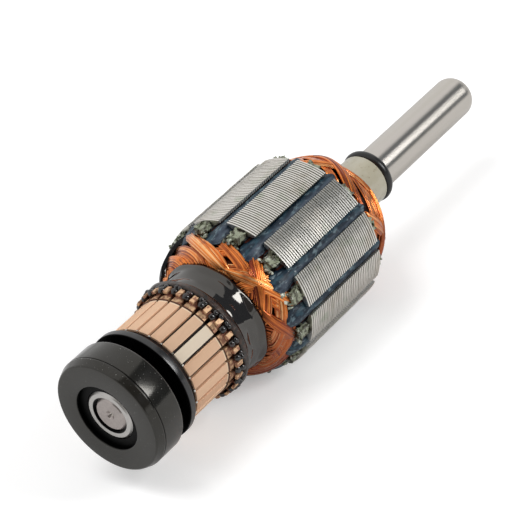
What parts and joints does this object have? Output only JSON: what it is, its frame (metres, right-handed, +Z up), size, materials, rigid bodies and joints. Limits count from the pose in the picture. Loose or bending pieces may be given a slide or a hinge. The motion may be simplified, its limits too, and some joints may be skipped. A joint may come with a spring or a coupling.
{
  "type": "motor armature",
  "caption": "Wound motor armature with commutator, laminated core, dust disc and a ball bearing in a rubber boot.",
  "frame": {"origin": "on the axis, in the middle plane of the ball bearing", "axes": "+X along the shaft towards the drive end, +Z up, one core slot straight down"},
  "size_m": [0.135, 0.0374, 0.0374],
  "materials": {
    "ground_steel": "ground and polished",
    "bearing_steel": "polished",
    "bush_steel": "turned",
    "core_sheet": "stacked sheet edges, varnish tinted",
    "bar_copper": "turned copper, satin",
    "enamelled_copper": "enamelled wire under clear varnish, glossy",
    "boot_rubber": "satin, dusty",
    "seal_rubber": "satin",
    "ring_rubber": "satin",
    "cage_plastic": "moulded",
    "disc_plastic": "moulded",
    "commutator_resin": "moulded",
    "collar_varnish": "thick glossy varnish",
    "insulator_plastic": "moulded, varnish coated",
    "slot_paper": "pressed paper",
    "wedge_fibre": "folded fibre strip, varnished",
    "sleeve_fibre": "wound tube, varnished"
  },
  "bodies": {
    "bearing_outer": {"bearing_outer_ring": "bearing_steel", "bearing_seal_front": "seal_rubber", "bearing_seal_rear": "seal_rubber", "bearing_boot": "boot_rubber"},
    "rotor": {"armature_winding": "enamelled_copper", "bearing_inner_ring": "bearing_steel", "commutator_bar_01": "bar_copper", "commutator_bar_02": "bar_copper", "commutator_bar_03": "bar_copper", "commutator_bar_04": "bar_copper", "commutator_bar_05": "bar_copper", "commutator_bar_06": "bar_copper", "commutator_bar_07": "bar_copper", "commutator_bar_08": "bar_copper", "commutator_bar_09": "bar_copper", "commutator_bar_10": "bar_copper", "commutator_bar_11": "bar_copper", "commutator_bar_12": "bar_copper", "commutator_bar_13": "bar_copper", "commutator_bar_14": "bar_copper", "commutator_bar_15": "bar_copper", "commutator_bar_16": "bar_copper", "commutator_bar_17": "bar_copper", "commutator_bar_18": "bar_copper", "commutator_bar_19": "bar_copper", "commutator_bar_20": "bar_copper", "commutator_bar_21": "bar_copper", "commutator_bar_22": "bar_copper", "commutator_bar_23": "bar_copper", "commutator_bar_24": "bar_copper", "commutator_bush": "bush_steel", "commutator_moulding": "commutator_resin", "dust_disc": "disc_plastic", "front_end_insulator": "insulator_plastic", "laminated_core": "core_sheet", "lead_collar": "collar_varnish", "o_ring": "ring_rubber", "rear_end_insulator": "insulator_plastic", "shaft": "ground_steel", "shaft_sleeve": "sleeve_fibre", "slot_liners": "slot_paper", "slot_wedge_01": "wedge_fibre", "slot_wedge_02": "wedge_fibre", "slot_wedge_03": "wedge_fibre", "slot_wedge_04": "wedge_fibre", "slot_wedge_05": "wedge_fibre", "slot_wedge_06": "wedge_fibre", "slot_wedge_07": "wedge_fibre", "slot_wedge_08": "wedge_fibre", "slot_wedge_09": "wedge_fibre", "slot_wedge_10": "wedge_fibre", "slot_wedge_11": "wedge_fibre", "slot_wedge_12": "wedge_fibre"},
    "ball_set": {"bearing_balls": "bearing_steel", "bearing_cage": "cage_plastic"}
  },
  "joints": [
    {"name": "rotor_spin", "type": "hinge", "parent": "bearing_outer", "child": "rotor", "pos_m": [0, 0, 0], "axis": [1, 0, 0], "continuous": true},
    {"name": "ball_set_spin", "type": "hinge", "parent": "bearing_outer", "child": "ball_set", "pos_m": [0, 0, 0], "axis": [1, 0, 0], "continuous": true}
  ],
  "couplings": [
    {"joint": "ball_set_spin", "follows": "rotor_spin", "ratio": 0.3677}
  ]
}
